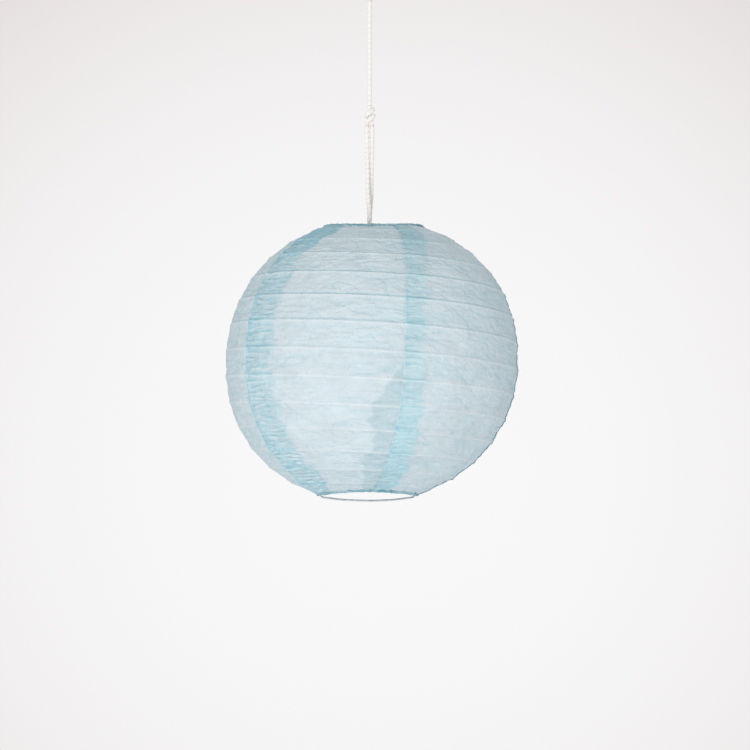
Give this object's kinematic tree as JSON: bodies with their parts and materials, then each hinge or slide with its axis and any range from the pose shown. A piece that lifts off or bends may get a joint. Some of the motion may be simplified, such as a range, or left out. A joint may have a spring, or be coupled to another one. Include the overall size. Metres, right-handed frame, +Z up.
{
  "type": "paper lantern",
  "caption": "Round ribbed pale blue paper lantern with an open top and bottom, hung by a knotted cotton cord from a stick-on ceiling hook.",
  "frame": {"origin": "middle of the ceiling pad's flat top face, where it meets the ceiling", "axes": "+Z up, +X to the viewer's right, +Y away from the viewer, and the wire expander lies in the XZ plane"},
  "size_m": [0.3011, 0.3009, 0.5949],
  "materials": {
    "pad_foam": "matte",
    "hook_plastic": "satin",
    "hook_steel": "satin",
    "cotton": "matte",
    "frame_steel": "satin",
    "ring_steel": "satin",
    "paper": "matte"
  },
  "bodies": {
    "ceiling_hook": {"ceiling_pad": "pad_foam", "ceiling_hook_base": "hook_plastic", "ceiling_hook_wire": "hook_steel"},
    "top_loop": {"cord_top_loop": "cotton", "cord_top_knot": "cotton"},
    "cord": {"cord_run": "cotton"},
    "lower_loop": {"cord_lower_knot": "cotton", "cord_lower_loop": "cotton"},
    "lantern": {"wire_expander": "frame_steel", "expander_sleeve": "frame_steel", "top_ring": "ring_steel", "top_hem": "paper", "rib_spiral": "ring_steel", "paper_gore_1": "paper", "paper_gore_2": "paper", "paper_gore_3": "paper", "paper_gore_4": "paper", "paper_gore_5": "paper"},
    "bottom_end": {"bottom_ring": "ring_steel", "bottom_hem": "paper"}
  },
  "joints": [
    {"name": "swing_side", "type": "hinge", "parent": "ceiling_hook", "child": "top_loop", "pos_m": [0, 0, -0.0345], "axis": [0, 1, 0], "range_deg": [-35, 35]},
    {"name": "swing_fore", "type": "hinge", "parent": "top_loop", "child": "cord", "pos_m": [0, 0, -0.076], "axis": [1, 0, 0], "range_deg": [-35, 35]},
    {"name": "cord_twist", "type": "hinge", "parent": "cord", "child": "lower_loop", "pos_m": [0, 0, -0.1847], "axis": [0, 0, 1], "range_deg": [-180, 180], "stiffness_Nm_per_rad": 0.002},
    {"name": "lantern_nod", "type": "hinge", "parent": "lower_loop", "child": "lantern", "pos_m": [0, 0, -0.3108], "axis": [1, 0, 0], "range_deg": [-20, 20]},
    {"name": "shell_collapse", "type": "slide", "parent": "lantern", "child": "bottom_end", "axis": [0, 0, 1], "range_m": [0, 0.232], "deforming": ["paper_gore_1", "paper_gore_2", "paper_gore_3", "paper_gore_4", "paper_gore_5", "rib_spiral", "wire_expander"]}
  ]
}
